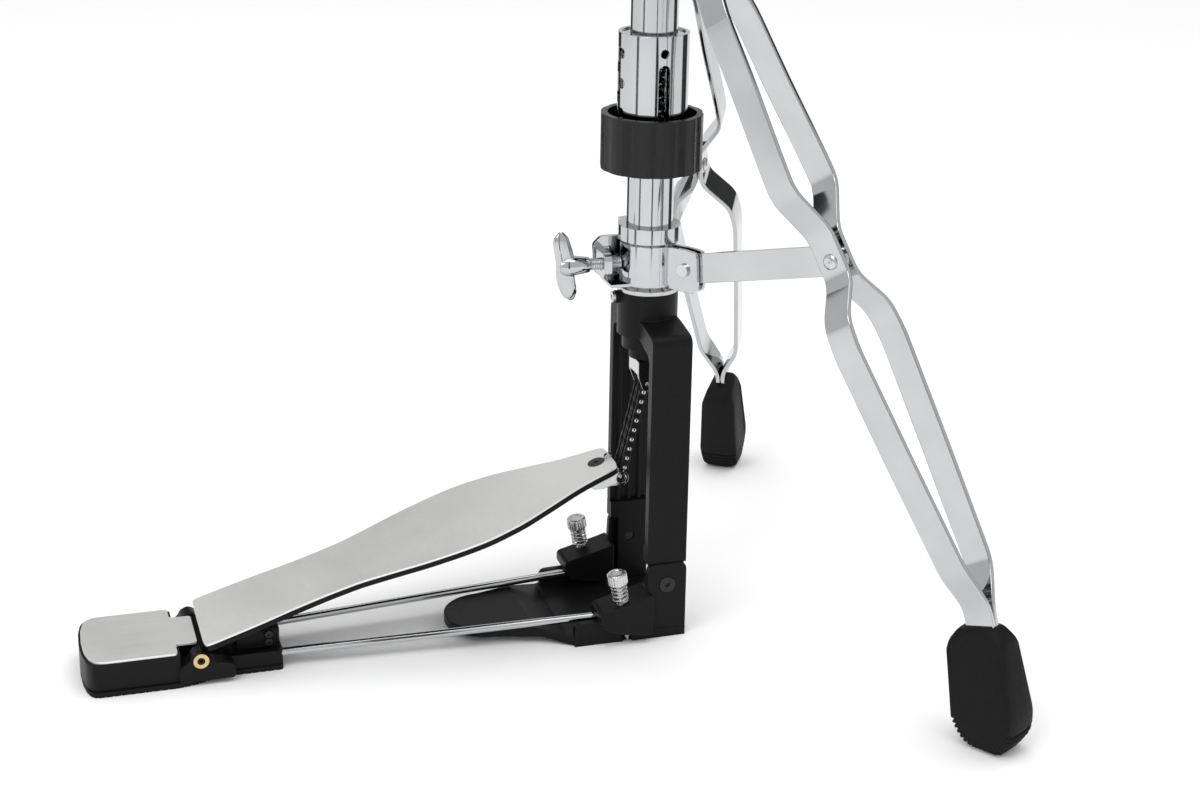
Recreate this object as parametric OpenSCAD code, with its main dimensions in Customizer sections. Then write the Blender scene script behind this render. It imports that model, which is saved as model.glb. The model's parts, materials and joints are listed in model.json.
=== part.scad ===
// Two-leg hi-hat stand: pedal, frame, legs, tension housing, rod and clutch.
// Millimetres. Z is up, the tube stands on x = y = 0, the floor is z = 0,
// the pedal runs towards -Y and the stand is mirrored across the YZ plane.

/* [Tubes and rod] */
// outer diameter of the lower tube
tube_d = 28.6; // [22:0.1:35]
// wall of the lower tube
tube_wall = 2; // [1:0.1:3]
// height of the lower tube's upper end
tube_top = 600; // [560:5:700]
// outer diameter of the upper tube
upper_tube_d = 22.2; // [16:0.1:24]
// height of the upper tube's upper end
upper_tube_top = 850; // [780:5:950]
// diameter of the pull rod
rod_d = 6; // [5:0.1:8]
// height of the pull rod's upper end
rod_top = 1140; // [1080:5:1250]

/* [Frame] */
// width over the two columns
frame_w = 86; // [76:1:100]
// depth of a column, front to back
column_d = 25.4; // [20:1:40]
// thickness of a column
column_t = 6.5; // [6:0.5:14]
// height of the column's outer shoulder
shoulder_z = 198; // [190:1:201]
// diameter of the frame's top collar
collar_d = 37.6; // [34:0.2:42]
// height of the frame's top collar
collar_top = 218; // [214:1:221]
// thickness of the base plate
plate_t = 6; // [4:0.5:9]
// reach of the base tongue in front of the tube
tongue_reach = 130; // [100:1:160]
// clearance under the raised tongue
tongue_lift = 5; // [0:0.5:9]

/* [Pedal] */
// height of the pedal hinge pin
hinge_z = 16.3; // [14:0.1:20]
// distance of the pedal hinge pin from the tube
hinge_reach = 286.2; // [260:0.1:300]
// slope of the footboard at rest in degrees
board_slope = 17.46; // [12:0.1:22]
// widest point of the footboard
board_w = 87.6; // [70:0.5:100]
// half width of the heel
heel_half = 32; // [28:0.5:40]
// height of the heel plate's upper face
heel_top = 22.2; // [18:0.1:26]
// diameter of the two linkage rods
link_d = 5; // [4:0.1:7]

/* [Chain] */
// chain pitch
pitch = 6.35; // [5:0.05:8]
// number of chain links
links = 10; // [6:1:12]
// lean of the chain from the vertical in degrees
chain_lean = 13; // [0:0.5:20]

/* [Tension housing] */
// outer diameter of the tension housing
housing_d = 42.8; // [38:0.2:48]
// outer diameter of the tension ring
ring_d = 62; // [54:0.5:70]
// height of the tension ring
ring_h = 34; // [25:1:45]

/* [Legs] */
// direction of the right leg from the X axis in degrees
leg_angle = 31.9; // [25:0.1:40]
// slope of a leg from the vertical in degrees
leg_tilt = 32.1; // [28:0.1:36]
// width of a leg strap
strap_w = 18.4; // [14:0.2:24]
// thickness of a leg strap
strap_t = 3; // [2:0.1:4]
// radius of the middle rivet from the tube axis
mid_r = 138.2; // [130:0.2:150]
// height of the middle rivet
mid_z = 264.3; // [255:0.1:275]

/* [Hidden] */
$fn = 48;
gap = 0.3;
fit = 0.05;
tube_r = tube_d / 2;
bore_r = tube_r - tube_wall;
upper_r = upper_tube_d / 2;
rod_r = rod_d / 2;
col_x = frame_w / 2;
col_y = 2.5;
side_in = col_x - 3.8;
lug_z = 50;
spur_x = 44.9;
spur_y = -22.6;
spur_lean = 10;
link_a = [33.6, -38.5, 15];
link_b = [20.7, -234, 9.9];
mid_u = 203.6;
top_r = mid_r - mid_u * sin(leg_tilt);
top_z = mid_z + mid_u * cos(leg_tilt);
brace_r = 31.1;
brace_z = 236.7;
brace_len = sqrt(pow(mid_r - brace_r, 2) + pow(mid_z - brace_z, 2));
brace_tilt = atan((mid_z - brace_z) / (mid_r - brace_r));
pinch = strap_t + 0.35;
rivet_r = 2.9;
ring_z = 295;
house_z = 302;
house_top = 378;
pin_z = 312;
chain_y = -2;
chain_z = 158;
last_lean = 17;
chain_end = [0, chain_y - (links - 1) * pitch * sin(chain_lean) - pitch * sin(chain_lean + last_lean),
  chain_z - (links - 1) * pitch * cos(chain_lean) - pitch * cos(chain_lean + last_lean)];
board_y = -284;
board_z = 25.7;
board_len = 274.6;
seat_z = 858;
clutch_z = 1012;
sleeve_r = 6.5;

// corner rounding: every inner vertex becomes a short quadratic curve
function bez(a, b, c, t) = (1 - t) * (1 - t) * a + 2 * t * (1 - t) * b + t * t * c;
function toward(a, b, d) = a + (b - a) * min(0.5, d / norm(b - a));
function rounded(p, d, n) = [for (i = [0:len(p) - 1])
  if (i == 0 || i == len(p) - 1) p[i]
  else for (k = [0:n]) bez(toward(p[i], p[i - 1], d), p[i], toward(p[i], p[i + 1], d), k / n)];
function side(p, i) = let (a = p[max(0, i - 1)], b = p[min(len(p) - 1, i + 1)], v = (b - a) / norm(b - a))
  [-v[1], v[0]];
function band(p, h) = concat([for (i = [0:len(p) - 1]) p[i] + side(p, i) * h],
  [for (i = [len(p) - 1:-1:0]) p[i] - side(p, i) * h]);
function mirrored(p) = concat(p, [for (i = [len(p) - 1:-1:0]) [-p[i][0], p[i][1]]]);

module tube(r1, r0, z0, z1) {
  translate([0, 0, z0]) difference() {
    cylinder(r = r1, h = z1 - z0);
    translate([0, 0, -1]) cylinder(r = r0, h = z1 - z0 + 2);
  }
}
module box(a, b) {
  translate(a) cube(b - a);
}
module both() {
  children();
  mirror([1, 0, 0]) children();
}
module bar(a, b, r, extra = 0) {
  v = b - a;
  len_ = norm(v);
  translate(a) rotate([0, acos(v[2] / len_), atan2(v[1], v[0])])
    translate([0, 0, -extra]) cylinder(r = r, h = len_ + 2 * extra);
}
// profile in the YZ plane, extruded along X from x0 to x1
module slab_x(pts, x0, x1) {
  translate([x0, 0, 0]) rotate([90, 0, 90]) linear_extrude(height = x1 - x0) polygon(pts);
}
// profile in the XZ plane, extruded along Y from y0 to y1
module slab_y(pts, y0, y1) {
  translate([0, y1, 0]) rotate([90, 0, 0]) linear_extrude(height = y1 - y0) polygon(pts);
}
module pin_x(y, z, r, x0, x1) {
  translate([x0, y, z]) rotate([0, 90, 0]) cylinder(r = r, h = x1 - x0);
}
module pin_y(x, z, r, y0, y1) {
  translate([x, y1, z]) rotate([90, 0, 0]) cylinder(r = r, h = y1 - y0);
}

// ---- frame ----
module spur_axis() {
  translate([spur_x, spur_y, 0]) rotate([spur_lean, 0, 0]) children();
}
module base_plan() {
  r = 26;
  union() {
    polygon(mirrored([[44, 15.4], [44.6, -20], [41.6, -57], [33.8, -75], [29, -92], [r, -104]]));
    translate([0, r - tongue_reach]) circle(r = r);
  }
}
module base_casting() {
  color([0.10, 0.10, 0.11]) difference() {
    union() {
      intersection() {
        linear_extrude(height = 40) base_plan();
        slab_x([[15.4, 0], [15.4, plate_t], [-60, plate_t], [-80, plate_t + tongue_lift],
          [-140, plate_t + tongue_lift - 0.5], [-140, tongue_lift], [-76, tongue_lift], [-57, 0]], -60, 60);
      }
      both() {
        slab_x(rounded([[15.4, 0], [15.4, lug_z], [-9.6, lug_z], [-10.4, 28], [-18, 16], [-57, 15],
          [-57, 0]], 5, 5), side_in + 0.1, side_in + 4.6);
        slab_x(rounded([[-8, 6], [-8, 33], [-14, 31], [-28, 27.2], [-42.3, 23.4], [-42.3, 16.5], [-38, 11.5],
          [-28, 8], [-14, 6], [-8, 6]], 2.5, 5), side_in - 9.5, side_in + 11.5);
      }
    }
    both() {
      spur_axis() translate([0, 0, -5]) cylinder(r = 3.25, h = 60);
      bar(link_a, link_b, link_d / 2 + fit, 30);
      pin_x(2.9, 35.8, 3.1, side_in - 1, side_in + 10);
      pin_x(2.9, 35.8, 5.2, side_in + 2.6, side_in + 10);
      box([side_in - 12, -9, plate_t], [side_in, 20, 60]);
    }
  }
}
module column_frame() {
  top = 203;
  inner = col_x - column_t;
  color([0.11, 0.11, 0.12]) difference() {
    union() {
      slab_y(rounded([[col_x, 60], [col_x, shoulder_z], [19, top - 1], [0, top], [-19, top - 1],
        [-col_x, shoulder_z], [-col_x, 60], [-inner, 60], [-inner, shoulder_z - 13], [-13, top - 12],
        [13, top - 12], [inner, shoulder_z - 13], [inner, 60], [col_x, 60]], 5, 4),
        col_y - column_d / 2, col_y + column_d / 2);
      both() {
        box([inner - 2.5, col_y - column_d / 2, lug_z + 0.3], [col_x, col_y + column_d / 2, 61]);
        box([inner - 2.5, col_y - column_d / 2 + 5.2, plate_t + 0.05], [side_in, col_y + column_d / 2, lug_z + 1]);
        for (y = [-6, 1, 8]) box([inner - 1.5, y, 62], [inner + 1, y + 2, shoulder_z - 16]);
      }
      translate([0, 0, 190]) cylinder(d = collar_d, h = collar_top - 190);
      translate([0, 0, 174]) cylinder(r = 11, h = 20);
      translate([0, 0, 181]) cylinder(r = 15.5, h = 14);
      pin_y(0, 213.9, 4, -21.5, -13.5);
    }
    translate([0, 0, 200]) cylinder(r = tube_r + fit, h = 40);
    translate([0, 0, 150]) cylinder(r = rod_r + 0.4, h = 60);
    both() pin_x(2.9, 35.8, 2.9, inner - 5, side_in + 5);
    pin_y(0, 213.9, 2, -30, -10);
  }
}
module frame_screws() {
  color([0.13, 0.13, 0.14]) both() difference() {
    union() {
      pin_x(2.9, 35.8, 2.8, side_in - 4.5, side_in + 3);
      pin_x(2.9, 35.8, 5, side_in + 2.7, side_in + 5);
    }
    translate([side_in + 3.4, 2.9, 35.8]) rotate([0, 90, 0]) cylinder(r = 1.9, h = 4, $fn = 6);
  }
}
module collar_screw() {
  color([0.75, 0.75, 0.77]) difference() {
    union() {
      pin_y(0, 213.9, 1.9, -23, -15);
      pin_y(0, 213.9, 3.6, -23.4, -21.6);
    }
    translate([0, -22.4, 213.9]) rotate([90, 0, 0]) cylinder(r = 1.7, h = 4, $fn = 6);
  }
}
module lower_tube() {
  color([0.78, 0.79, 0.80]) difference() {
    tube(tube_r, bore_r, 200.2, tube_top);
    box([-20, -3.6, 306], [20, 3.6, 358]);
  }
}
module tension_housing() {
  r = housing_d / 2;
  color([0.78, 0.79, 0.80]) difference() {
    union() {
      tube(r, r - 2.4, house_z, house_top);
      tube(r - 1, tube_r + fit, house_z, house_z + 3.5);
      tube(r - 1, tube_r + fit, house_top - 5, house_top - 1);
    }
    box([-30, -3.6, house_z + 4], [30, 3.6, 357.4]);
    pin_x(0, 357.4, 3.6, -30, 30);
    pin_x(0, 367.8, 2.7, -30, 30);
    for (a = [0, 180]) rotate([0, 0, a]) {
      box([-2.2, 10, house_z + 6], [2.2, 30, 369]);
      for (k = [0:5]) pin_y(k % 2 == 0 ? 3.6 : -3.6, 321 + 9 * k, 3.2, 15, 30);
    }
  }
}
module tension_spring() {
  n = 20;
  color([0.6, 0.6, 0.62]) for (k = [0:n - 1])
    translate([0, 0, 317 + k * (151 / (n - 1))]) rotate_extrude() translate([9, 0]) circle(r = 1.2, $fn = 16);
}
module memory_lock() {
  color([0.76, 0.77, 0.78]) rotate([0, 0, -70]) difference() {
    union() {
      tube(19.2, tube_r + fit, 250.4, 259.8);
      box([-7, -22.5, 250.8], [7, -16, 259.4]);
    }
    box([-1, -30, 240], [1, -10, 270]);
    pin_x(-19.8, 255.1, 1.8, -10, 10);
  }
}
module flange_washer() {
  color([0.75, 0.75, 0.77]) tube(19, tube_r + fit, collar_top + 0.1, 220.6);
}
module linkage_rods() {
  color([0.78, 0.79, 0.80]) both() bar(link_a, link_b, link_d / 2, 23);
}

// ---- heel and pedal ----
module heel_plan(h, x_in) {
  polygon(mirrored(rounded([[0, -355], [14, -354.4], [h - 6, -352.4], [h - 0.6, -349], [h, -345.5], [h, -300],
    [h - 2, -290], [x_in + 1, -278], [x_in, -268], [x_in, -236], [0, -236]], 3, 4)));
}
module heel_casting() {
  color([0.10, 0.10, 0.11]) difference() {
    union() {
      intersection() {
        translate([0, 0, 3.05]) linear_extrude(height = 30) heel_plan(heel_half - 0.7, 24);
        union() {
          box([-60, -360, 0], [60, -298, heel_top - 1.6]);
          box([-60, -300, 0], [60, -230, 12.5]);
        }
      }
      both() slab_x(rounded([[-299, 3.1], [-299, 12], [-293, 16.3], [-291.5, 20], [-286.2, 22.1], [-281.6, 19.2],
        [-280.6, 15], [-266, 12], [-266, 3.1], [-299, 3.1]], 2.5, 5), 22.6, heel_half + 1);
      slab_x([[-263, 10], [-263, 21], [-251, 22.9], [-240, 23.8], [-237, 23.9], [-237, 10]], -16, 16);
    }
    slab_x([[-294, 6], [-294, 40], [-264, 40], [-264, 11], [-270, 8]], -22.6, 22.6);
    pin_x(-hinge_reach, hinge_z, 4.75, -40, -27.9);
    pin_x(-hinge_reach, hinge_z, 4.75, 27.9, 40);
    pin_x(-hinge_reach, hinge_z, 3.05, -40, 40);
    both() {
      bar(link_a, link_b, link_d / 2 + fit, 28);
      for (z = [15.8, 21]) pin_x(-243.6, z, 2.05, 8, 20);
    }
  }
}
module heel_sole() {
  color([0.07, 0.07, 0.07]) difference() {
    linear_extrude(height = 3) heel_plan(heel_half + 1, 25);
    for (k = [0:24]) translate([0, -352 + 4.6 * k, -0.35]) rotate([45, 0, 0]) cube([100, 1.5, 1.5], center = true);
  }
}
module heel_plate() {
  t = 18.4;
  color([0.80, 0.81, 0.81]) translate([0, 0, heel_top - 1.5]) linear_extrude(height = 1.5)
    polygon(mirrored(rounded([[0, -353.6], [14, -353], [heel_half - 8, -350.8], [heel_half - 2.6, -347.6], [heel_half - 1.2, -342.5],
      [heel_half - 1.2, -299.5], [t, -299.5], [t, -286.6], [0, -286.6]], 2.5, 4)));
}
module rod_screws() {
  color([0.25, 0.24, 0.22]) both() for (z = [15.8, 21]) difference() {
    union() {
      pin_x(-243.6, z, 2, 9, 16.5);
      pin_x(-243.6, z, 2.3, 16.05, 18);
    }
    translate([17, -243.6, z]) rotate([0, 90, 0]) cylinder(r = 1.2, h = 4, $fn = 6);
  }
}
module hinge_pin() {
  color([0.25, 0.25, 0.26]) difference() {
    pin_x(-hinge_reach, hinge_z, 2.3, -heel_half - 0.4, heel_half + 0.4);
    for (s = [-1, 1]) translate([s * (heel_half + 0.4), -hinge_reach, hinge_z]) rotate([0, 90, 0])
      cylinder(r = 1.5, h = 4, center = true, $fn = 6);
  }
}
module hinge_bushings() {
  color([0.80, 0.62, 0.32]) both() difference() {
    pin_x(-hinge_reach, hinge_z, 4.7, 28, heel_half + 1.4);
    pin_x(-hinge_reach, hinge_z, 2.35, 20, 40);
  }
}
module on_board() {
  translate([0, board_y, board_z]) rotate([board_slope, 0, 0]) children();
}
module board_plan() {
  k = board_w / 87.6;
  polygon(mirrored(rounded([[0, 0], [30.8, 0], [32.8, 2.4], [32, 35.6], [30.4, 56.6], [29.8 * k, 77.6], [30.6 * k, 98.5],
    [35 * k, 119.5], [39.8 * k, 140.5], [42.8 * k, 161.4], [43.8 * k, 180], [39.8 * k, 203.4], [31.9 * k, 224.3],
    [23.4, 245.3], [19.8, 260], [17.9, 270.5], [15, board_len], [0, board_len]], 7, 4)));
}
module footboard_plate() {
  color([0.80, 0.81, 0.81]) on_board() translate([0, 0, -1.2]) difference() {
    linear_extrude(height = 1.2) board_plan();
    translate([0, 264.5, -1]) cylinder(r = 5.6, h = 4);
  }
}
module footboard_body() {
  color([0.08, 0.08, 0.09]) difference() {
    union() {
      on_board() translate([0, 0, -4.6]) linear_extrude(height = 3.35) board_plan();
      pin_x(-hinge_reach, hinge_z, 4, -22.2, 22.2);
      slab_x([[-286.2, 12.4], [-283.4, 12.9], [-274, 21], [-262, 28.4], [-283, 21.8], [-284.4, 19]], -22.2, 22.2);
    }
    pin_x(-hinge_reach, hinge_z, 2.4, -40, 40);
    on_board() translate([0, 264.5, -6]) cylinder(r = 3.1, h = 8);
    on_board() box([-9, 264, -9], [9, 290, -3]);
  }
}
module toe_block() {
  y = chain_end[1];
  z = chain_end[2];
  color([0.77, 0.78, 0.79]) difference() {
    union() {
      intersection() {
        on_board() slab_x([[253, -4.65], [253, -7], [256, -12], [262, -14], [283, -14], [283, -4.65]], -10.8, 10.8);
        box([-20, -45, 60], [20, y - 2, 120]);
      }
      both() slab_x([[y - 7, z + 4], [y + 2, z + 4.6], [y + 4.6, z + 2], [y + 4.6, z - 2], [y + 2, z - 4.6],
        [y - 7, z - 4.6]], 8.2, 10.5);
    }
    box([-8.2, y - 5.2, 60], [8.2, 10, 120]);
    pin_x(y, z, 3.2, -20, 20);
    on_board() translate([0, 264.5, -12]) cylinder(r = 2.55, h = 10);
  }
}
module toe_screw() {
  color([0.10, 0.10, 0.10]) on_board() translate([0, 264.5, 0]) difference() {
    union() {
      translate([0, 0, -11]) cylinder(r = 2.5, h = 10.5);
      translate([0, 0, -1.1]) cylinder(r = 5.5, h = 1.3);
    }
    translate([0, 0, -0.8]) cylinder(r = 1.7, h = 3, $fn = 6);
  }
}
module toe_hook() {
  color([0.78, 0.79, 0.80]) on_board() translate([0, board_len - 1.7, 0.05]) rotate([0, 90, 0]) difference() {
    translate([0, 0, -1.4]) cylinder(r = 2.8, h = 2.8);
    translate([0, 0, -2]) cylinder(r = 1.6, h = 4);
    translate([0, -5, -3]) cube([10, 10, 6]);
  }
}

// ---- chain and rod ----
module chain_axis() {
  translate([0, chain_y, chain_z]) rotate([-chain_lean, 0, 0]) children();
}
module link_plate(x, t) {
  translate([x - t / 2, 0, 0]) rotate([0, 90, 0]) difference() {
    union() {
      cylinder(r = 2.75, h = t);
      translate([pitch, 0, 0]) cylinder(r = 2.75, h = t);
      translate([0, -1.9, 0]) cube([pitch, 3.8, t]);
    }
    translate([0, 0, -1]) cylinder(r = 1.15, h = t + 2);
    translate([pitch, 0, -1]) cylinder(r = 1.15, h = t + 2);
  }
}
// the last link leans further, towards the toe block
module at_link(k) {
  if (k < links - 1) translate([0, 0, -pitch * k]) children();
  else translate([0, 0, -pitch * (links - 1)]) rotate([-last_lean, 0, 0])
    translate([0, 0, -pitch * (k - links + 1)]) children();
}
module chain_inner_links() {
  color([0.09, 0.09, 0.09]) chain_axis() for (k = [1:2:links - 1], x = [-5.3, -1.3, 1.3, 5.3])
    at_link(k) link_plate(x, 0.7);
}
module chain_outer_links() {
  color([0.10, 0.10, 0.10]) chain_axis() for (k = [0:2:links - 1], x = [-6.3, 0, 6.3])
    at_link(k) link_plate(x, 0.8);
}
module chain_rollers() {
  color([0.15, 0.15, 0.15]) chain_axis() for (k = [0:links], s = [-1, 1])
    at_link(k) translate([s * 3.3, 0, 0]) rotate([0, 90, 0]) difference() {
      cylinder(r = 1.65, h = 3, center = true);
      cylinder(r = 1.15, h = 4, center = true);
    }
}
module chain_pins() {
  color([0.55, 0.55, 0.56]) chain_axis() for (k = [0:links])
    at_link(k) rotate([0, 90, 0]) cylinder(r = 1.1, h = 14.6, center = true);
}
module pull_rod() {
  color([0.78, 0.79, 0.80]) translate([0, 0, 167]) cylinder(r = rod_r, h = rod_top - 167);
}
module rod_clevis() {
  color([0.77, 0.78, 0.79]) difference() {
    slab_x(rounded([[-8, 173], [8, 173], [6, 162], [0.6, 153.5], [-4.6, 153.5], [-8, 163], [-8, 173]], 2, 4),
      -9.6, 9.6);
    box([-7.6, -20, 140], [7.6, 20, 164]);
    pin_x(chain_y, chain_z, 1.15, -20, 20);
    translate([0, 0, 166.9]) cylinder(r = rod_r + fit, h = 10);
  }
}
module spring_flange() {
  color([0.5, 0.5, 0.52]) tube(11.2, rod_r + fit, 469.5, 474);
}
module tension_ring() {
  r = ring_d / 2;
  color([0.09, 0.09, 0.10]) difference() {
    tube(r, housing_d / 2 + gap + 0.05, ring_z, ring_z + ring_h);
    tube(r - 4, 10, ring_z + 22, ring_z + ring_h + 1);
    pin_x(0, pin_z, 2.35, -28.5, 28.5);
    for (a = [0:30:330]) rotate([0, 0, a + 15]) translate([r + 19.4, 0, ring_z - 1]) cylinder(r = 20, h = ring_h + 2);
  }
}
module ring_cross_pin() {
  color([0.75, 0.75, 0.77]) both() pin_x(0, pin_z, 2.3, rod_r + 1, 28.3);
}
module spring_carrier() {
  color([0.5, 0.5, 0.52]) difference() {
    tube(11.9, rod_r + 0.5, 308, 315.6);
    pin_x(0, pin_z, 2.35, -30, 30);
  }
}

// ---- leg assembly ----
module leg_frame() {
  rotate([0, 0, leg_angle]) children();
}
module along_leg() {
  leg_frame() translate([mid_r, 0, mid_z]) rotate([0, 90 - leg_tilt, 0]) children();
}
// offset of a strap from the leg's middle plane along the leg
spread = [[-214, 6.2], [-186, 6.2], [-152, 13.6], [-110, 15.6], [-62, 19.6], [-44, 20.4], [-17, pinch],
  [12, pinch], [33, 20.8], [51, 23.2], [120, 18.6], [190, 13], [213, 1.62], [262, 1.62]];
// centre line of the strap in the leg's own plane
run = [[-210, 0], [206, 0], [262, -18.4]];
module strap() {
  color([0.80, 0.81, 0.82]) along_leg() intersection() {
    linear_extrude(height = 110, center = true) polygon(band(rounded(spread, 7, 4), strap_t / 2));
    rotate([90, 0, 0]) linear_extrude(height = 80, center = true) difference() {
      polygon(band(rounded(run, 22, 8), strap_w / 2));
      circle(r = rivet_r + fit);
      translate([-mid_u, 0]) circle(r = 3.28);
    }
  }
}
module mirror_in_leg() {
  leg_frame() mirror([0, 1, 0]) rotate([0, 0, -leg_angle]) children();
}
module leg_rivets() {
  color([0.70, 0.75, 0.80]) along_leg() for (s = [-1, 1]) rotate([s * 90, 0, 0]) {
    translate([0, 0, pinch - strap_t / 2 + 0.05]) cylinder(r = rivet_r, h = strap_t);
    translate([0, 0, pinch + strap_t / 2 + 0.02]) cylinder(r = 4.6, h = 1.3);
  }
}
module foot() {
  color([0.11, 0.11, 0.11]) difference() {
    leg_frame() intersection() {
      slab_y(rounded([[239.5, 68], [262, 75], [270.5, 69], [283, 24], [283.5, 12], [276, 0], [255, 0],
        [250, 3], [243.5, 12], [235, 60], [239.5, 68]], 4, 5), -14, 14);
      translate([259, 0, 0]) rotate([90, 0, 90]) linear_extrude(height = 80, center = true)
        polygon(mirrored(rounded([[0, 0], [11, 0], [13.7, 8], [14, 22], [12.5, 60], [8.5, 74], [0, 76]], 4, 5)));
    }
    along_leg() translate([196, -3.3, -40]) cube([67, 6.6, 60]);
  }
}
module brace() {
  color([0.78, 0.79, 0.80]) leg_frame() translate([brace_r, 0, brace_z]) rotate([90, -brace_tilt, 0])
    linear_extrude(height = strap_t, center = true) difference() {
      union() {
        translate([0, -9]) square([brace_len, 18]);
        circle(r = 9);
        translate([brace_len, 0]) circle(r = 9);
      }
      circle(r = 2.65);
      translate([brace_len, 0]) circle(r = 3.6);
    }
}
module leg_clamp() {
  ear = pinch - 0.1;
  color([0.79, 0.80, 0.81]) difference() {
    union() {
      tube(17.8, tube_r + gap, 223, 248.6);
      both() leg_frame() for (s = [-1, 1]) translate([0, s * ear, 0]) slab_y(rounded([[15, 223.2],
        [30, 222.8], [40.6, 223.6], [42, 230], [40.6, 249], [30, 249.6], [15, 248.4], [15, 223.2]], 3, 4), -1.2, 1.2);
      slab_x(rounded([[-10, 222.6], [-10, 249.6], [-27, 249.6], [-32, 245], [-32, 228], [-26, 222.6],
        [-10, 222.6]], 2, 4), -15, -12);
      box([-13, -27, 222.6], [10, -10, 224.6]);
      slab_y(rounded([[-13, 228], [-13, 243.5], [6, 243.5], [8.6, 240.5], [8.6, 231], [6, 228], [-13, 228]], 2, 4), -31, -26);
    }
    translate([0, 0, 200]) cylinder(r = tube_r + gap, h = 60);
    pin_y(0, brace_z - 1, 4, -40, -12);
    both() leg_frame() translate([brace_r, 0, brace_z]) rotate([90, 0, 0]) cylinder(r = 2.6, h = 20, center = true);
  }
}
module brace_rivets() {
  color([0.72, 0.73, 0.75]) both() leg_frame() translate([brace_r, 0, brace_z]) rotate([90, 0, 0]) {
    cylinder(r = 2.55, h = 9.4, center = true);
    for (s = [-1, 1]) translate([0, 0, s * 5.35]) cylinder(r = 4.2, h = 1.7, center = true);
  }
}
// wing head: a bowed blade with a hub, thread along -Y
module wing_head(z, y) {
  translate([0, y, z]) {
    rotate([90, 0, 0]) cylinder(r = 6.2, h = 8);
    translate([0, -6, 0]) slab_x(rounded([[2, -5], [-4, -13], [-3, -20], [-9, -22.5], [-15, -16], [-16.8, 0],
      [-17.5, 12], [-14, 21.5], [-8, 21], [-5, 12], [2, 5], [2, -5]], 4, 5), -4, 4);
  }
}
module clamp_bolt() {
  color([0.78, 0.79, 0.80]) {
    wing_head(brace_z - 1, -38.5);
    pin_y(0, brace_z - 1, 3.85, -39, -18.2);
  }
}
module upper_leg_collar() {
  color([0.79, 0.80, 0.81]) difference() {
    union() {
      tube(18.6, tube_r + gap, top_z - 12.5, top_z + 12.5);
      both() leg_frame() box([15, -4.4, top_z - 10], [30, 4.4, top_z + 10]);
      both() leg_frame() translate([top_r, 0, top_z]) rotate([90, 0, 0]) cylinder(r = 10, h = 8.8, center = true);
    }
    translate([0, 0, top_z - 20]) cylinder(r = tube_r + gap, h = 40);
    both() leg_frame() translate([top_r, 0, top_z]) rotate([90, 0, 0]) cylinder(r = 3.25, h = 20, center = true);
  }
}
module collar_rivets() {
  color([0.72, 0.73, 0.75]) both() leg_frame() translate([top_r, 0, top_z]) rotate([90, 0, 0]) {
    cylinder(r = 3.2, h = 17.2, center = true);
    for (s = [-1, 1]) translate([0, 0, s * 8.8]) cylinder(r = 5, h = 1.8, center = true);
  }
}

// ---- spurs ----
module spur() {
  color([0.72, 0.70, 0.67]) spur_axis() {
    translate([0, 0, 41.4]) cylinder(r = 6.2, h = 8);
    translate([0, 0, 8]) cylinder(r = 3.15, h = 34);
    rotate_extrude() polygon([[0, 1.5], [3.15, 8], [0, 8]]);
  }
}
module spur_springs() {
  color([0.66, 0.66, 0.68]) both() spur_axis() for (k = [0:5])
    translate([0, 0, 30.2 + 2 * k]) rotate_extrude() translate([4.3, 0]) circle(r = 0.6, $fn = 16);
}

// ---- upper part ----
module height_clamp() {
  color([0.77, 0.78, 0.79]) difference() {
    union() {
      tube(19, upper_r + 1.2, tube_top - 26, tube_top + 8);
      box([-9, -31, tube_top - 22], [9, -14, tube_top + 4]);
    }
    translate([0, 0, tube_top - 40]) cylinder(r = tube_r + fit, h = 40.2);
    translate([0, 0, tube_top - 40]) cylinder(r = upper_r + 1.2, h = 60);
    box([-1.2, -40, tube_top - 27], [1.2, -10, tube_top + 9]);
    pin_y(0, tube_top - 9, 4, -40, -14);
  }
}
module clamp_bushing() {
  color([0.12, 0.12, 0.13]) difference() {
    tube(bore_r - fit, upper_r + gap, tube_top - 40, tube_top);
    box([-1, 5, tube_top - 50], [1, 20, tube_top + 10]);
  }
}
module height_bolt() {
  color([0.78, 0.79, 0.80]) {
    wing_head(tube_top - 9, -38.5);
    pin_y(0, tube_top - 9, 3.85, -39, -20);
  }
}
module upper_tube() {
  color([0.80, 0.81, 0.82]) tube(upper_r, upper_r - 1.6, 500, upper_tube_top);
}
module upper_lock() {
  color([0.76, 0.77, 0.78]) difference() {
    union() {
      tube(16, upper_r + fit, tube_top + 8.3, tube_top + 19);
      box([-6.5, -20, tube_top + 8.8], [6.5, -13, tube_top + 18.5]);
    }
    box([-1, -30, tube_top], [1, -8, tube_top + 30]);
    pin_x(-17.2, tube_top + 13.6, 1.8, -10, 10);
  }
}
module tilter_base() {
  z = upper_tube_top;
  color([0.77, 0.78, 0.79]) difference() {
    union() {
      tube(14.5, upper_r + fit, z - 22, z + 0.1);
      tube(17, 6.5, z + 0.05, z + 4.5);
      box([-17, -6, z], [-12.6, 6, seat_z + 8]);
      box([12.6, -6, z], [17, 6, seat_z + 8]);
      box([-5, 12, z + 0.05], [5, 27, z + 4.5]);
    }
    pin_x(0, seat_z + 3, 2.6, -20, 20);
    translate([0, 22, z - 10]) cylinder(r = 2.7, h = 30);
  }
}
module cymbal_seat() {
  z = seat_z + 9.5;
  color([0.77, 0.78, 0.79]) difference() {
    union() {
      translate([0, 0, z]) cylinder(r = 24, h = 3);
      translate([0, 0, z]) cylinder(r = 7.5, h = 11.1);
      translate([0, 0, z]) cylinder(r = sleeve_r, h = 22);
      box([-12.2, -5, seat_z - 1], [12.2, 5, z + 1]);
      pin_x(0, seat_z + 3, 2.5, -16.8, 16.8);
    }
    translate([0, 0, z - 20]) cylinder(r = rod_r + 2.2, h = 60);
  }
}
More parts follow.
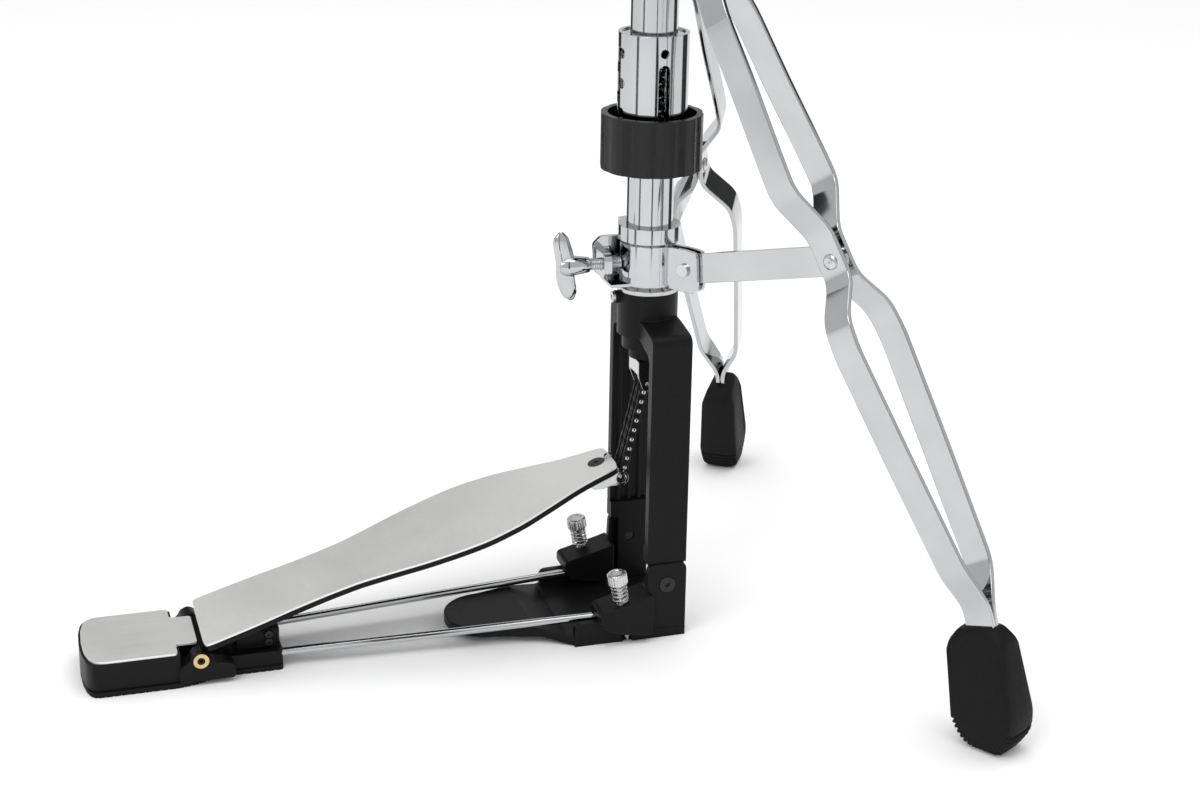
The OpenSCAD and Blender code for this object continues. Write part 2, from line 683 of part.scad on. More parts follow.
module seat_felt() {
  color([0.55, 0.55, 0.54]) tube(19, 7.6, seat_z + 12.6, seat_z + 20.6);
}
module tilt_screw() {
  z = upper_tube_top;
  color([0.72, 0.73, 0.75]) translate([0, 22, 0]) {
    translate([0, 0, z - 9]) cylinder(r = 2.6, h = 24.2);
    translate([0, 0, z - 13]) cylinder(r = 6.4, h = 6);
  }
}
module clutch_body() {
  z = clutch_z;
  color([0.77, 0.78, 0.79]) difference() {
    union() {
      tube(5.5, rod_r + 0.35, z - 12, z + 56);
      tube(10, rod_r + 0.35, z + 38, z + 56);
      tube(9, 5, z + 28, z + 34);
      tube(9, 5, z - 10, z - 2);
      pin_x(0, z + 47, 3, 8, 18);
      translate([18, 0, z + 47]) rotate([0, 90, 0]) cylinder(r = 7, h = 5);
    }
    translate([0, 0, z - 20]) cylinder(r = rod_r + 0.35, h = 90);
  }
}
module clutch_felts() {
  color([0.20, 0.20, 0.20]) {
    tube(17, 5.6, clutch_z - 1.9, clutch_z + 7);
    tube(17, 5.6, clutch_z + 18, clutch_z + 27.9);
  }
}

base_casting();
column_frame();
frame_screws();
collar_screw();
lower_tube();
tension_housing();
tension_spring();
memory_lock();
flange_washer();
linkage_rods();
heel_casting();
heel_sole();
heel_plate();
rod_screws();
hinge_pin();
hinge_bushings();
height_clamp();
clamp_bushing();
footboard_plate();
footboard_body();
toe_block();
toe_screw();
toe_hook();
chain_inner_links();
chain_outer_links();
chain_rollers();
chain_pins();
pull_rod();
rod_clevis();
spring_flange();
tension_ring();
ring_cross_pin();
spring_carrier();
leg_clamp();
brace_rivets();
clamp_bolt();
upper_leg_collar();
collar_rivets();
mirror_in_leg() strap();  // right_front_strap
strap();  // right_rear_strap
leg_rivets();  // right_leg_rivets
foot();  // right_foot
brace();  // right_brace
mirror([1, 0, 0]) mirror_in_leg() strap();  // left_front_strap
mirror([1, 0, 0]) strap();  // left_rear_strap
mirror([1, 0, 0]) leg_rivets();  // left_leg_rivets
mirror([1, 0, 0]) foot();  // left_foot
mirror([1, 0, 0]) brace();  // left_brace
spur();  // right_spur
mirror([1, 0, 0]) spur();  // left_spur
spur_springs();
height_bolt();
upper_tube();
upper_lock();
tilter_base();
cymbal_seat();
seat_felt();
tilt_screw();
clutch_body();
clutch_felts();
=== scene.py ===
import json
import math

import bmesh
import bpy
from mathutils import Matrix, Vector


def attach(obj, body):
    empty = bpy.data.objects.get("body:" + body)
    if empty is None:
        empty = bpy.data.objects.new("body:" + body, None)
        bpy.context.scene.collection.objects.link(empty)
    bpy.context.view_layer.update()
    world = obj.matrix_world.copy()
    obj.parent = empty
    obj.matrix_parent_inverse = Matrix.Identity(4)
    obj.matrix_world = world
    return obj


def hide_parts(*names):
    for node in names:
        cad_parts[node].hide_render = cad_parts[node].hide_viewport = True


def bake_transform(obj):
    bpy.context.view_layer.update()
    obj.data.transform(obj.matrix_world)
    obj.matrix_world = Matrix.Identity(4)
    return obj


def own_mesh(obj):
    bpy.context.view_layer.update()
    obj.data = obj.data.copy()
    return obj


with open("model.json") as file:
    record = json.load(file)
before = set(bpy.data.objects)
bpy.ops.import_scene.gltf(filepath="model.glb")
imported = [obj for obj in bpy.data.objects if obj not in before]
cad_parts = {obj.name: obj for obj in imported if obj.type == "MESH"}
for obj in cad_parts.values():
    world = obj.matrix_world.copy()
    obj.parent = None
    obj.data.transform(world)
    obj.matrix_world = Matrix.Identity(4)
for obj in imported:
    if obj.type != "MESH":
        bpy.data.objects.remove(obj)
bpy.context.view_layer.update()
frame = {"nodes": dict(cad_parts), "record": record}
MM = 0.001


# ---------------------------------------------------------------- node helpers
class Nodes:
    def __init__(self, name):
        self.mat = bpy.data.materials.new(name)
        self.mat.use_nodes = True
        self.tree = self.mat.node_tree
        self.bsdf = self.tree.nodes["Principled BSDF"]

    def add(self, kind, **values):
        node = self.tree.nodes.new(kind)
        for key, value in values.items():
            if key in node.inputs:
                node.inputs[key].default_value = value
            else:
                setattr(node, key, value)
        return node

    def link(self, a, b):
        self.tree.links.new(a, b)

    def noise(self, scale, detail=4.0, stretch=(1, 1, 1), turn=(0, 0, 0)):
        coord = self.add("ShaderNodeTexCoord")
        mapping = self.add("ShaderNodeMapping")
        mapping.inputs["Scale"].default_value = stretch
        mapping.inputs["Rotation"].default_value = turn
        noise = self.add("ShaderNodeTexNoise")
        noise.inputs["Scale"].default_value = scale
        noise.inputs["Detail"].default_value = detail
        self.link(coord.outputs["Object"], mapping.inputs["Vector"])
        self.link(mapping.outputs["Vector"], noise.inputs["Vector"])
        return noise.outputs["Fac"]

    def spread(self, value, low, high, a=0.3, b=0.7):
        span = self.add("ShaderNodeMapRange")
        span.inputs["From Min"].default_value = a
        span.inputs["From Max"].default_value = b
        span.inputs["To Min"].default_value = low
        span.inputs["To Max"].default_value = high
        self.link(value, span.inputs["Value"])
        return span.outputs["Result"]

    def mix(self, factor, a, b):
        mix = self.add("ShaderNodeMix", data_type="RGBA")
        self.link(factor, mix.inputs["Factor"])
        for socket, value in ((mix.inputs[6], a), (mix.inputs[7], b)):
            if isinstance(value, tuple):
                socket.default_value = value
            else:
                self.link(value, socket)
        return mix.outputs[2]

    def edge(self, radius):
        """1 on a rounded edge, 0 on a flat face."""
        bevel = self.add("ShaderNodeBevel", samples=4)
        bevel.inputs["Radius"].default_value = radius
        geometry = self.add("ShaderNodeNewGeometry")
        dot = self.add("ShaderNodeVectorMath", operation="DOT_PRODUCT")
        self.link(bevel.outputs["Normal"], dot.inputs[0])
        self.link(geometry.outputs["Normal"], dot.inputs[1])
        return self.spread(dot.outputs["Value"], 1.0, 0.0, 0.75, 0.99)

    def bump(self, height, strength, distance, radius=0.0):
        bump = self.add("ShaderNodeBump")
        bump.inputs["Strength"].default_value = strength
        bump.inputs["Distance"].default_value = distance
        self.link(height, bump.inputs["Height"])
        if radius:
            bevel = self.add("ShaderNodeBevel", samples=6)
            bevel.inputs["Radius"].default_value = radius
            self.link(bevel.outputs["Normal"], bump.inputs["Normal"])
        self.link(bump.outputs["Normal"], self.bsdf.inputs["Normal"])


def rgba(r, g, b):
    return (r, g, b, 1.0)


def surface(name, dark, light, metallic, rough, scale, stretch=(1, 1, 1), turn=(0, 0, 0), detail=4.0,
            bump=0.2, height=0.0001, radius=0.0006, edge_highlight=None, specular=0.5):
    """A procedural surface: two tones by noise, roughness by the same noise, bump, rounded edges, and a
    painted highlight in noise patches on those edges.
    """
    n = Nodes(name)
    field = n.noise(scale, detail, stretch, turn)
    colour = n.mix(n.spread(field, 0.0, 1.0), rgba(*dark), rgba(*light))
    # Painted highlight: a lighter colour laid on rounded edges in noise patches, standing in for light
    # catching the edges.
    if edge_highlight:
        patches = n.noise(90.0, 3.0)
        edge_highlight_mask = n.add("ShaderNodeMath", operation="MULTIPLY")
        n.link(n.edge(radius), edge_highlight_mask.inputs[0])
        n.link(n.spread(patches, 0.0, 1.0, 0.35, 0.65), edge_highlight_mask.inputs[1])
        colour = n.mix(edge_highlight_mask.outputs[0], colour, rgba(*edge_highlight))
    n.link(colour, n.bsdf.inputs["Base Color"])
    n.bsdf.inputs["Metallic"].default_value = metallic
    n.bsdf.inputs["Specular IOR Level"].default_value = specular
    smudge = n.noise(22.0, 3.0)
    total = n.add("ShaderNodeMath", operation="ADD")
    n.link(n.spread(field, rough[0], rough[1]), total.inputs[0])
    n.link(n.spread(smudge, -0.25 * (rough[1] - rough[0]), 0.25 * (rough[1] - rough[0])), total.inputs[1])
    n.link(total.outputs[0], n.bsdf.inputs["Roughness"])
    n.bump(field, bump, height, radius)
    return n.mat


BOARD_SLOPE = math.radians(17.46)
# On the black looks, the extra lighter colour on rounded edges is a painted edge highlight.
LOOKS = {
    "cast_black": surface(
        "cast_black", (0.0040, 0.0040, 0.0045), (0.0075, 0.0075, 0.008), 0.0, (0.34, 0.48), 900.0,
        bump=0.22, height=0.00010, radius=0.0012, edge_highlight=(0.020, 0.020, 0.022), specular=0.14),
    "chrome": surface(
        "chrome", (0.50, 0.51, 0.525), (0.55, 0.56, 0.57), 1.0, (0.04, 0.10), 35.0,
        bump=0.05, height=0.0004, radius=0.0005),
    "brushed_aluminium": surface(
        "brushed_aluminium", (0.84, 0.84, 0.83), (0.90, 0.90, 0.89), 0.7, (0.38, 0.50), 1500.0,
        stretch=(1, 0.012, 1), turn=(BOARD_SLOPE, 0, 0), bump=0.05, height=0.00003, radius=0.0005),
    "black_plastic": surface(
        "black_plastic", (0.005, 0.005, 0.0055), (0.009, 0.009, 0.0095), 0.0, (0.26, 0.40), 500.0,
        bump=0.12, height=0.00005, radius=0.0007, edge_highlight=(0.025, 0.025, 0.025), specular=0.3),
    "black_rubber": surface(
        "black_rubber", (0.0055, 0.0055, 0.006), (0.010, 0.010, 0.0105), 0.0, (0.50, 0.70), 700.0,
        bump=0.3, height=0.00008, radius=0.0012, edge_highlight=(0.022, 0.022, 0.024), specular=0.12),
    "zinc_steel": surface(
        "zinc_steel", (0.58, 0.58, 0.59), (0.68, 0.68, 0.68), 1.0, (0.20, 0.30), 120.0,
        bump=0.06, height=0.00002, radius=0.0004),
    "spring_steel": surface(
        "spring_steel", (0.56, 0.56, 0.57), (0.68, 0.68, 0.68), 1.0, (0.18, 0.34), 500.0,
        bump=0.1, height=0.00003, radius=0.0002),
    "black_steel": surface(
        "black_steel", (0.009, 0.009, 0.009), (0.020, 0.020, 0.020), 0.4, (0.26, 0.44), 600.0,
        bump=0.2, height=0.00005, radius=0.0004, edge_highlight=(0.10, 0.10, 0.10)),
    "brass": surface(
        "brass", (0.60, 0.44, 0.20), (0.74, 0.58, 0.31), 1.0, (0.16, 0.34), 400.0,
        bump=0.15, height=0.00004, radius=0.0004),
    "felt": surface(
        "felt", (0.05, 0.05, 0.05), (0.13, 0.13, 0.13), 0.0, (0.85, 1.0), 1600.0, detail=8.0,
        bump=0.8, height=0.0004, radius=0.0008, specular=0.1),
}

for entry in frame["record"]["subparts"]:
    node = frame["nodes"][entry["node"]]
    node.data.materials.clear()
    node.data.materials.append(LOOKS[entry["material_slot"]])


# ---------------------------------------------------------------- mesh helpers
def shade(obj, angle=32):
    mesh = obj.data
    for poly in mesh.polygons:
        poly.use_smooth = True
    mesh.set_sharp_from_angle(angle=math.radians(angle))


def piece(name, verts, faces, look, body, replaces=(), place=None, bevel=0.0, segments=2, flip=False):
    """A mesh object given in millimetres and placed in metres; a blended piece names no body."""
    bm = bmesh.new()
    points = [bm.verts.new(Vector(v) * MM) for v in verts]
    for f in faces:
        bm.faces.new([points[i] for i in f])
    if place is not None:
        bm.transform(place)
    if flip:
        bm.transform(Matrix.Scale(-1, 4, (1, 0, 0)))
    bmesh.ops.recalc_face_normals(bm, faces=bm.faces)
    mesh = bpy.data.meshes.new(name)
    bm.to_mesh(mesh)
    bm.free()
    obj = bpy.data.objects.new(name, mesh)
    bpy.context.scene.collection.objects.link(obj)
    mesh.materials.append(LOOKS[look])
    shade(obj)
    if bevel:
        mod = obj.modifiers.new("rounding", "BEVEL")
        mod.width = bevel * MM
        mod.segments = segments
        mod.limit_method = "ANGLE"
        mod.angle_limit = math.radians(40)
        mod.harden_normals = False
    if body:
        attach(obj, body)
    if replaces:
        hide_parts(*replaces)
    return obj


def lathe(profile, steps=48, wobble=None):
    """A profile of (radius, height) turned about Z; wobble(angle, k) scales a radius."""
    verts, faces = [], []
    for k, (r, z) in enumerate(profile):
        for s in range(steps):
            a = 2 * math.pi * s / steps
            q = r * (wobble(a, k) if wobble else 1.0)
            verts.append((q * math.cos(a), q * math.sin(a), z))
    for k in range(len(profile) - 1):
        for s in range(steps):
            n = (s + 1) % steps
            faces.append((k * steps + s, k * steps + n, (k + 1) * steps + n, (k + 1) * steps + s))
    faces.append(tuple(range(steps)))
    faces.append(tuple((len(profile) - 1) * steps + s for s in range(steps)))
    return verts, faces


def sweep(rings):
    """Vertices and faces of closed cross-sections joined one after the other, with both ends shut."""
    n = len(rings[0])
    verts = [p for ring in rings for p in ring]
    faces = []
    for k in range(len(rings) - 1):
        for s in range(n):
            faces.append((k * n + s, k * n + (s + 1) % n, (k + 1) * n + (s + 1) % n, (k + 1) * n + s))
    faces.append(tuple(range(n)))
    faces.append(tuple((len(rings) - 1) * n + s for s in range(n)))
    return verts, faces


def helix(radius, wire, z0, z1, turns, flat=0.75, sides=8, per_turn=28):
    """Cross-sections of a coil spring with closed ends, where the pitch falls to the wire's width."""
    rings = []
    total = int(turns * per_turn)
    travel = z1 - z0 - 2 * wire
    ease = min(flat / turns, 0.3)

    def height(t):
        low = min(t / ease, 1.0)
        high = min((1 - t) / ease, 1.0)
        if low < 1:
            return 0.5 * low * low * ease
        if high < 1:
            return 1 - ease - 0.5 * high * high * ease
        return t - 0.5 * ease

    for k in range(total + 1):
        t = k / total
        a = 2 * math.pi * turns * t
        z = z0 + wire + travel * height(t) / (1 - ease)
        ring = []
        for s in range(sides):
            b = 2 * math.pi * s / sides
            r = radius + wire * math.cos(b)
            ring.append((r * math.cos(a), r * math.sin(a), z + wire * math.sin(b)))
        rings.append(ring)
    return rings


def joined(parts):
    verts, faces = [], []
    for v, f in parts:
        base = len(verts)
        verts += v
        faces += [tuple(i + base for i in face) for face in f]
    return verts, faces


def moved(part, matrix):
    verts, faces = part
    return [tuple(matrix @ Vector(v)) for v in verts], faces


def rounded(points, reach, steps):
    """Each inner corner becomes a short curve."""
    out = []
    for i, p in enumerate(points):
        if i in (0, len(points) - 1):
            out.append(Vector(p))
            continue
        p = Vector(p)
        a = p + (Vector(points[i - 1]) - p) * min(0.5, reach / (Vector(points[i - 1]) - p).length)
        c = p + (Vector(points[i + 1]) - p) * min(0.5, reach / (Vector(points[i + 1]) - p).length)
        for k in range(steps + 1):
            t = k / steps
            out.append(a * (1 - t) ** 2 + p * 2 * t * (1 - t) + c * t * t)
    return out


def at(x=0.0, y=0.0, z=0.0):
    return Matrix.Translation(Vector((x, y, z)))


def turn(degrees, axis):
    return Matrix.Rotation(math.radians(degrees), 4, axis)


def metres(matrix):
    """The same placement, given in millimetres, for a mesh in metres."""
    out = matrix.copy()
    out.translation = matrix.translation * MM
    return out


# ---------------------------------------------------------------- legs
LEG_ANGLE = 31.9
LEG_TILT = 32.1
MID_R = 138.2
MID_Z = 264.3
STRAP_W = 18.4
STRAP_T = 3.0
PINCH = 3.35
RIVET_R = 4.7
RIVET_H = 1.7
SPREAD = [(-214, 6.2), (-186, 6.2), (-152, 13.6), (-110, 15.6), (-62, 19.6), (-44, 20.4), (-17, PINCH),
          (12, PINCH), (33, 20.8), (51, 23.2), (120, 18.6), (190, 13), (213, 1.62), (262, 1.62)]
RUN = [(-210, 0), (206, 0), (262, -18.4)]
LEG_FRAME = turn(LEG_ANGLE, "Z")
ALONG = LEG_FRAME @ at(MID_R, 0, MID_Z) @ turn(90 - LEG_TILT, "Y")


def lookup(line, u):
    for a, b in zip(line, line[1:]):
        if a.x <= u <= b.x:
            t = (u - a.x) / max(b.x - a.x, 1e-9)
            return a.lerp(b, t), (b - a).normalized()
    end = line[0] if u < line[0].x else line[-1]
    seg = (line[1] - line[0]) if u < line[0].x else (line[-1] - line[-2])
    return end, seg.normalized()


def smooth_dir(line, u, h=0.8):
    a, _ = lookup(line, u - h)
    b, _ = lookup(line, u + h)
    return (b - a).normalized() if (b - a).length > 1e-6 else lookup(line, u)[1]


def strap(sign):
    side = rounded(SPREAD, 7, 10)
    way = rounded(RUN, 22, 12)
    stations = sorted(set(round(p.x, 3) for p in side + way if -210 <= p.x <= 262))
    rings = []
    for u in stations:
        v, _ = lookup(side, u)
        w, _ = lookup(way, u)
        d = smooth_dir(side, u)
        e = smooth_dir(way, u)
        centre = Vector((u, sign * v.y, w.y))
        n = Vector((-d.y, sign * d.x, 0)) * (STRAP_T / 2)
        b = Vector((-e.y, 0, e.x)) * (STRAP_W / 2)
        rings.append([tuple(centre + n * p + b * q) for p, q in ((1, 1), (-1, 1), (-1, -1), (1, -1))])
    return sweep(rings)


def dome(radius, height, base=0.0):
    """A rivet head: a low dome with a small flat rim."""
    shape = ((1, 0), (1, 0.25), (0.93, 0.55), (0.74, 0.85), (0.45, 1), (0.12, 1))
    return [(r * radius, base + h * height) for r, h in shape]


def rivet(radius, height):
    return lathe(dome(radius, height) + [(0.10 * radius, 0.55 * height)], 32)


for sign, side_name in ((1, "right"), (-1, "left")):
    flip = sign < 0
    for v, which in ((1, "rear"), (-1, "front")):
        verts, faces = strap(v)
        piece(f"{side_name}_{which}_leg_strap", verts, faces, "chrome", f"{side_name}_leg",
              (f"{side_name}_{which}_strap",), metres(ALONG), bevel=0.55, segments=3, flip=flip)
    heads = [moved(joined([rivet(RIVET_R, RIVET_H), lathe([(2.9, -3.0), (2.9, 0.1)], 24)]),
                   turn(s * -90, "X") @ at(0, 0, PINCH + STRAP_T / 2)) for s in (-1, 1)]
    verts, faces = joined(heads)
    piece(f"{side_name}_leg_mid_rivets", verts, faces, "zinc_steel", f"{side_name}_leg",
          (f"{side_name}_leg_rivets",), metres(ALONG), bevel=0.15, flip=flip)


# ---------------------------------------------------------------- feet
FOOT = [(239.5, 68), (262, 75), (270.5, 69), (283, 24), (283.5, 12), (276, 0), (255, 0), (250, 3),
        (243.5, 12), (235, 60), (239.5, 68)]
FOOT_HALF = 14.0
FOOT_MIDDLE = Vector((259, 36))
TOOTHED_BELOW = 15


TOOTH = 3.4
TOOTH_DEPTH = 1.7
TOOTH_STEP = 0.425


def foot_taper(z):
    """The foot's share of its full width at a height."""
    middle = 0.16 * max(0.0, (z - 24) / 45)
    crown = 0.30 * max(0.0, (z - 56) / 18)
    sole = 0.10 * max(0.0, (20 - z) / 20)
    return 1.0 - middle - crown - sole


def foot():
    """A rubber shoe: teeth round its toe and sole, narrower at the top, rounded flanks."""
    outline = rounded(FOOT, 4, 5)[:-1]
    toothed = []
    run = 0.0
    for i, p in enumerate(outline):
        q = outline[(i + 1) % len(outline)]
        if p.y > TOOTHED_BELOW or q.y > TOOTHED_BELOW:
            toothed.append(p)
            continue
        inward = Vector((p.y - q.y, q.x - p.x)).normalized()
        if inward.dot(FOOT_MIDDLE - p) < 0:
            inward = -inward
        count = max(1, round((q - p).length / TOOTH_STEP))
        for k in range(count):
            wave = abs((run + k * (q - p).length / count) % TOOTH - TOOTH / 2) / (TOOTH / 2)
            depth = TOOTH_DEPTH * min(1.0, max(0.0, 2 * wave - 0.5))
            toothed.append(p.lerp(q, k / count) + inward * depth)
        run += (q - p).length
    flank = ((0.3, 1), (0.75, 0.99), (0.94, 0.95), (1.0, 0.88))
    rings = []
    for y, scale in [(-y, scale) for y, scale in reversed(flank)] + list(flank):
        outer = [FOOT_MIDDLE + (p - FOOT_MIDDLE) * scale for p in toothed]
        rings.append([(q.x, y * FOOT_HALF * foot_taper(q.y), q.y) for q in outer])
    return sweep(rings)


for sign, side_name in ((1, "right"), (-1, "left")):
    verts, faces = foot()
    piece(f"{side_name}_rubber_foot", verts, faces, "black_rubber", f"{side_name}_leg",
          (f"{side_name}_foot",), metres(LEG_FRAME), bevel=0.5, flip=sign < 0)

# ---------------------------------------------------------------- springs
# The spring is cut in two: its foot follows the tension ring, and the rest shortens as the rod comes down.
SPRING_FOOT = 315.9
SPRING_CUT = 381.0
SPRING_TOP = 469.2
wire_rings = helix(9.0, 1.2, SPRING_FOOT, SPRING_TOP, 19)
cut = next(k for k, ring in enumerate(wire_rings) if ring[0][2] > SPRING_CUT)
verts, faces = sweep(wire_rings[cut:])
coil = piece("tension_coil", verts, faces, "spring_steel", "frame", ("tension_spring",))
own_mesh(coil)
verts, faces = sweep(wire_rings[:cut + 1])
coil = piece("tension_coil_foot", verts, faces, "spring_steel", None)
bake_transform(coil)

SPUR_X = 44.9
SPUR_Y = -22.6
SPUR_LEAN = 10
MIRROR_X = Matrix.Scale(-1, 4, (1, 0, 0))
SPUR = at(SPUR_X, SPUR_Y, 0) @ turn(SPUR_LEAN, "X")
spiral = sweep(helix(4.5, 0.75, 29.6, 41.1, 4.5))
verts, faces = joined([moved(spiral, SPUR), moved(spiral, MIRROR_X @ SPUR)])
piece("spur_coils", verts, faces, "spring_steel", "frame", ("spur_springs",))


# ---------------------------------------------------------------- spurs with knurled heads
def knurl(a, k):
    return 1.0 + 0.04 * math.cos(22 * a) if 2 <= k <= 5 else 1.0


head = lathe([(3.2, 41.3), (5.2, 41.4), (6.0, 42.0), (6.1, 42.5), (6.1, 47.9), (6.0, 48.4), (5.3, 49.2),
              (3.6, 49.4), (3.2, 48.9), (0.2, 48.9)], 96, knurl)
thread = [(3.1 if k % 2 else 2.75, 8.5 + 0.5 * k) for k in range(40)]
shaft = lathe([(0.2, 1.5), (3.0, 8.0)] + thread + [(2.3, 28.6), (2.3, 41.4)], 24)
for sign, side_name in ((1, "right"), (-1, "left")):
    verts, faces = joined([head, shaft])
    piece(f"{side_name}_knurled_spur", verts, faces, "zinc_steel", f"{side_name}_spur",
          (f"{side_name}_spur",), metres(SPUR), flip=sign < 0)

# ---------------------------------------------------------------- chain
PITCH = 6.35
LINKS = 10
CHAIN = at(0, -2, 158) @ turn(-13, "X")
LAST_LEAN = 17


def joint(k):
    """Where pin k of the chain sits; the last link leans further than the others."""
    if k < LINKS:
        return at(0, 0, -PITCH * k)
    return at(0, 0, -PITCH * (LINKS - 1)) @ turn(-LAST_LEAN, "X") @ at(0, 0, -PITCH)


def link_plate(x, t):
    """A plate with two round ends and a waist, standing in the YZ plane with its first pin at the origin."""
    outline = []
    for k in range(13):
        a = math.radians(-20 + 220 * k / 12)
        outline.append((2.7 * math.cos(a), 2.7 * math.sin(a)))
    for k in range(13):
        a = math.radians(160 + 220 * k / 12)
        outline.append((2.7 * math.cos(a), -PITCH + 2.7 * math.sin(a)))
    return sweep([[(x + s * t / 2, p[0], p[1]) for p in outline] for s in (-1, 1)])


inner, outer, rollers, pins = [], [], [], []
for k in range(LINKS):
    spot = joint(k) @ turn(-LAST_LEAN if k == LINKS - 1 else 0, "X")
    if k % 2:
        inner += [moved(link_plate(x, 0.8), spot) for x in (-5.3, -1.3, 1.3, 5.3)]
    else:
        outer += [moved(link_plate(x, 0.8), spot) for x in (-6.3, 0, 6.3)]
for k in range(LINKS + 1):
    spot = joint(k) @ turn(90, "Y")
    for s in (-1, 1):
        rollers.append(moved(lathe([(1.65, -1.5), (1.65, 1.5)], 20), spot @ at(0, 0, s * 3.3)))
    end = [(1.0, 6.6), (1.35, 6.75), (1.35, 7.0), (1.05, 7.28), (0.5, 7.42), (0.1, 7.45)]
    pins.append(moved(lathe([(r, -z) for r, z in reversed(end)] + end, 20), spot))
for name, parts, look, node, cut in (("inner_plates", inner, "black_steel", "chain_inner_links", 0.18),
                                     ("outer_plates", outer, "black_steel", "chain_outer_links", 0.18),
                                     ("rollers", rollers, "black_steel", "chain_rollers", 0.15),
                                     ("riveted_pins", pins, "zinc_steel", "chain_pins", 0.0)):
    verts, faces = joined(parts)
    piece("chain_" + name, verts, faces, look, "chain", (node,), metres(CHAIN), bevel=cut)


# ---------------------------------------------------------------- wing bolts
WING_REACH = 21.5
WING_Y = -38.5
CLAMP_BOLT_Z = 235.7
HEIGHT_BOLT_Z = 591


def blade():
    """The cast wing: a thick leaf with a broad rounded lobe on either side of the hub, leaning like an S."""
    line = rounded([(-10.5, -WING_REACH), (-13.0, -14.5), (-15.0, -6.5), (-14.5, 0), (-15.5, 6.5),
                    (-17.5, 14.5), (-18.0, WING_REACH)], 6, 6)
    rings = []
    count = len(line)
    for i, p in enumerate(line):
        a = line[max(0, i - 1)]
        b = line[min(count - 1, i + 1)]
        d = (b - a).normalized()
        n = Vector((-d.y, d.x))
        far = abs(p.y) / WING_REACH
        swell = math.sqrt(max(0.0, 1.0 - far ** 5))
        broad = (6.2 - 1.0 * far) * (0.30 + 0.70 * swell)
        thick = (3.4 - 0.9 * far) * (0.30 + 0.70 * swell)
        ring = []
        for s in range(24):
            t = 2 * math.pi * s / 24
            c = math.copysign(abs(math.cos(t)) ** 0.8, math.cos(t))
            e = math.copysign(abs(math.sin(t)) ** 0.8, math.sin(t))
            q = p + n * broad * c
            ring.append((thick * e, q.x, q.y))
        rings.append(ring)
    first = [tuple(Vector(v).lerp(Vector((0, line[0].x, line[0].y - 0.6)), 0.6)) for v in rings[0]]
    last = [tuple(Vector(v).lerp(Vector((0, line[-1].x, line[-1].y + 0.6)), 0.6)) for v in rings[-1]]
    return sweep([first] + rings + [last])


def threaded(radius, z0, z1, pitch=1.1):
    steps = int((z1 - z0) / pitch * 2)
    crests = [(radius if k % 2 else radius - 0.45, z0 + (z1 - z0) * k / steps) for k in range(steps + 1)]
    return lathe(crests, 28)


def wing_bolt(tip):
    hub = lathe([(3.9, -0.2), (4.6, 0.0), (5.0, 0.8), (5.6, 5.0), (6.4, 10.0), (6.2, 15.0), (4.6, 18.6),
                 (0.3, 19.6)], 40)
    stem = threaded(3.85, 0.3, tip)
    spot = at(0, WING_Y, 0)
    return joined([moved(blade(), spot), moved(hub, spot @ turn(90, "X")),
                   moved(stem, spot @ turn(-90, "X"))])


verts, faces = wing_bolt(20.3)
piece("leg_wing_bolt", verts, faces, "chrome", "clamp_bolt", ("clamp_bolt",),
      metres(at(0, 0, CLAMP_BOLT_Z)))
verts, faces = wing_bolt(18.5)
piece("height_wing_bolt", verts, faces, "chrome", "height_bolt", ("height_bolt",),
      metres(at(0, 0, HEIGHT_BOLT_Z)))

# ---------------------------------------------------------------- camera
LENS_PX = 2118.2
FRAME_PX = 1200.0
SENSOR_MM = 36
CAMERA_AT = Vector((1.186571, -0.400395, 0.606663))
CAMERA_AZIMUTH = 72.17
azimuth, pitch, roll = math.radians(CAMERA_AZIMUTH), math.radians(18.79), math.radians(1.153)
back = Vector((math.sin(azimuth) * math.cos(pitch), -math.cos(azimuth) * math.cos(pitch), math.sin(pitch)))
right = Vector((math.cos(azimuth), math.sin(azimuth), 0))
up = back.cross(right)
right, up = (right * math.cos(roll) + up * math.sin(roll)), (up * math.cos(roll) - right * math.sin(roll))
camera = bpy.data.objects.new("camera", bpy.data.cameras.new("camera"))
facing = Matrix((right, up, back)).transposed().to_4x4()
camera.matrix_world = Matrix.Translation(CAMERA_AT) @ facing
camera.data.sensor_width = SENSOR_MM
camera.data.lens = SENSOR_MM * LENS_PX / FRAME_PX
camera.data.shift_x = -0.0149
camera.data.shift_y = -0.0464
camera.data.clip_start = 0.01
bpy.context.scene.collection.objects.link(camera)
bpy.context.scene.camera = camera


# ---------------------------------------------------------------- studio
def plain(name, colour, rough=0.9):
    mat = bpy.data.materials.new(name)
    mat.use_nodes = True
    shader = mat.node_tree.nodes["Principled BSDF"]
    shader.inputs["Base Color"].default_value = rgba(*colour)
    shader.inputs["Roughness"].default_value = rough
    return mat


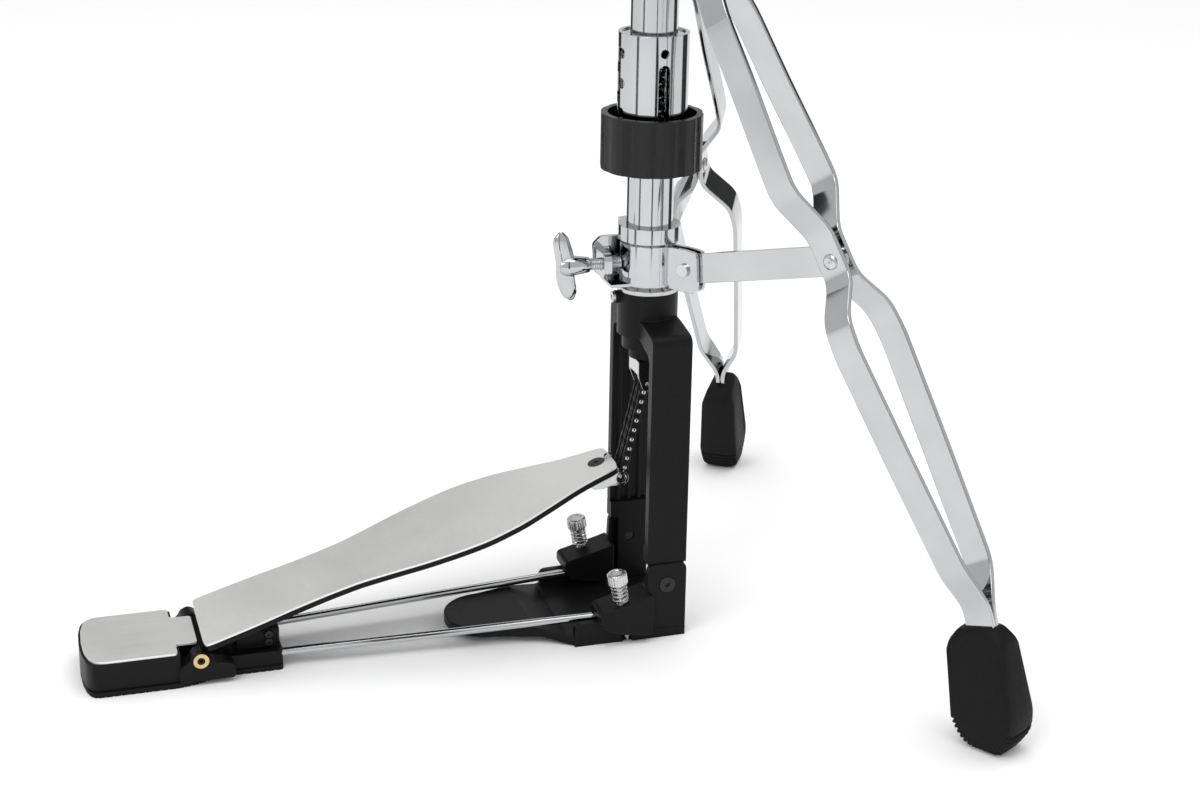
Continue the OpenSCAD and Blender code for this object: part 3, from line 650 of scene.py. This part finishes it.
def card(name, centre, width, height, facing, mat, hidden=True):
    """A flat studio panel whose face looks along 'facing'."""
    mesh = bpy.data.meshes.new(name)
    w, h = width / 2, height / 2
    mesh.from_pydata([(-w, -h, 0), (w, -h, 0), (w, h, 0), (-w, h, 0)], [], [(0, 1, 2, 3)])
    mesh.materials.append(mat)
    obj = bpy.data.objects.new(name, mesh)
    obj.rotation_euler = Vector(facing).to_track_quat("Z", "Y").to_euler()
    obj.location = centre
    bpy.context.scene.collection.objects.link(obj)
    obj.visible_camera = not hidden
    obj.visible_shadow = not hidden
    obj.visible_diffuse = not hidden
    return obj


card("floor", (0, 0, 0), 24, 24, (0, 0, 1), plain("floor_paint", (0.90, 0.90, 0.90)), hidden=False)
world = bpy.data.worlds.new("studio")
bpy.context.scene.world = world
world.use_nodes = True
backdrop = world.node_tree.nodes["Background"]
backdrop.inputs["Color"].default_value = (1, 1, 1, 1)
path = world.node_tree.nodes.new("ShaderNodeLightPath")
level = world.node_tree.nodes.new("ShaderNodeMapRange")
level.inputs["To Min"].default_value = 1.0
level.inputs["To Max"].default_value = 0.72
world.node_tree.links.new(path.outputs["Is Glossy Ray"], level.inputs["Value"])
world.node_tree.links.new(level.outputs["Result"], backdrop.inputs["Strength"])

dark = plain("dark_cloth", (0.03, 0.03, 0.03))
grey = plain("grey_card", (0.16, 0.16, 0.165))


def around(degrees, distance, height):
    """A point at this bearing from the tube, counted from the camera's bearing."""
    a = math.radians(CAMERA_AZIMUTH - 90 + degrees)
    return Vector((math.cos(a) * distance, math.sin(a) * distance, height))


CARD_DISTANCE = 0.85
CARD_HEIGHT = 1.6
for name, degrees, width, mat in (("card_a", 10, 0.09, dark), ("card_b", -52, 0.12, grey),
                                  ("card_c", 64, 0.20, grey), ("card_d", 120, 0.45, dark),
                                  ("card_e", -143, 0.42, dark)):
    spot = around(degrees, CARD_DISTANCE, CARD_HEIGHT / 2)
    card(name, spot, width, CARD_HEIGHT, (-spot.x, -spot.y, 0), mat)


def softbox(name, centre, target, size, power):
    light = bpy.data.lights.new(name, "AREA")
    light.shape = "RECTANGLE"
    light.size, light.size_y = size
    light.energy = power
    obj = bpy.data.objects.new(name, light)
    obj.location = centre
    obj.rotation_euler = (Vector(centre) - Vector(target)).to_track_quat("Z", "Y").to_euler()
    bpy.context.scene.collection.objects.link(obj)
    return obj


softbox("key", (1.4, -1.8, 2.4), (0, 0, 0.3), (1.6, 1.2), 22)
softbox("top", (0.2, 0.3, 2.6), (0, 0, 0.2), (2.0, 2.0), 16)
bpy.context.scene.view_settings.view_transform = "Standard"
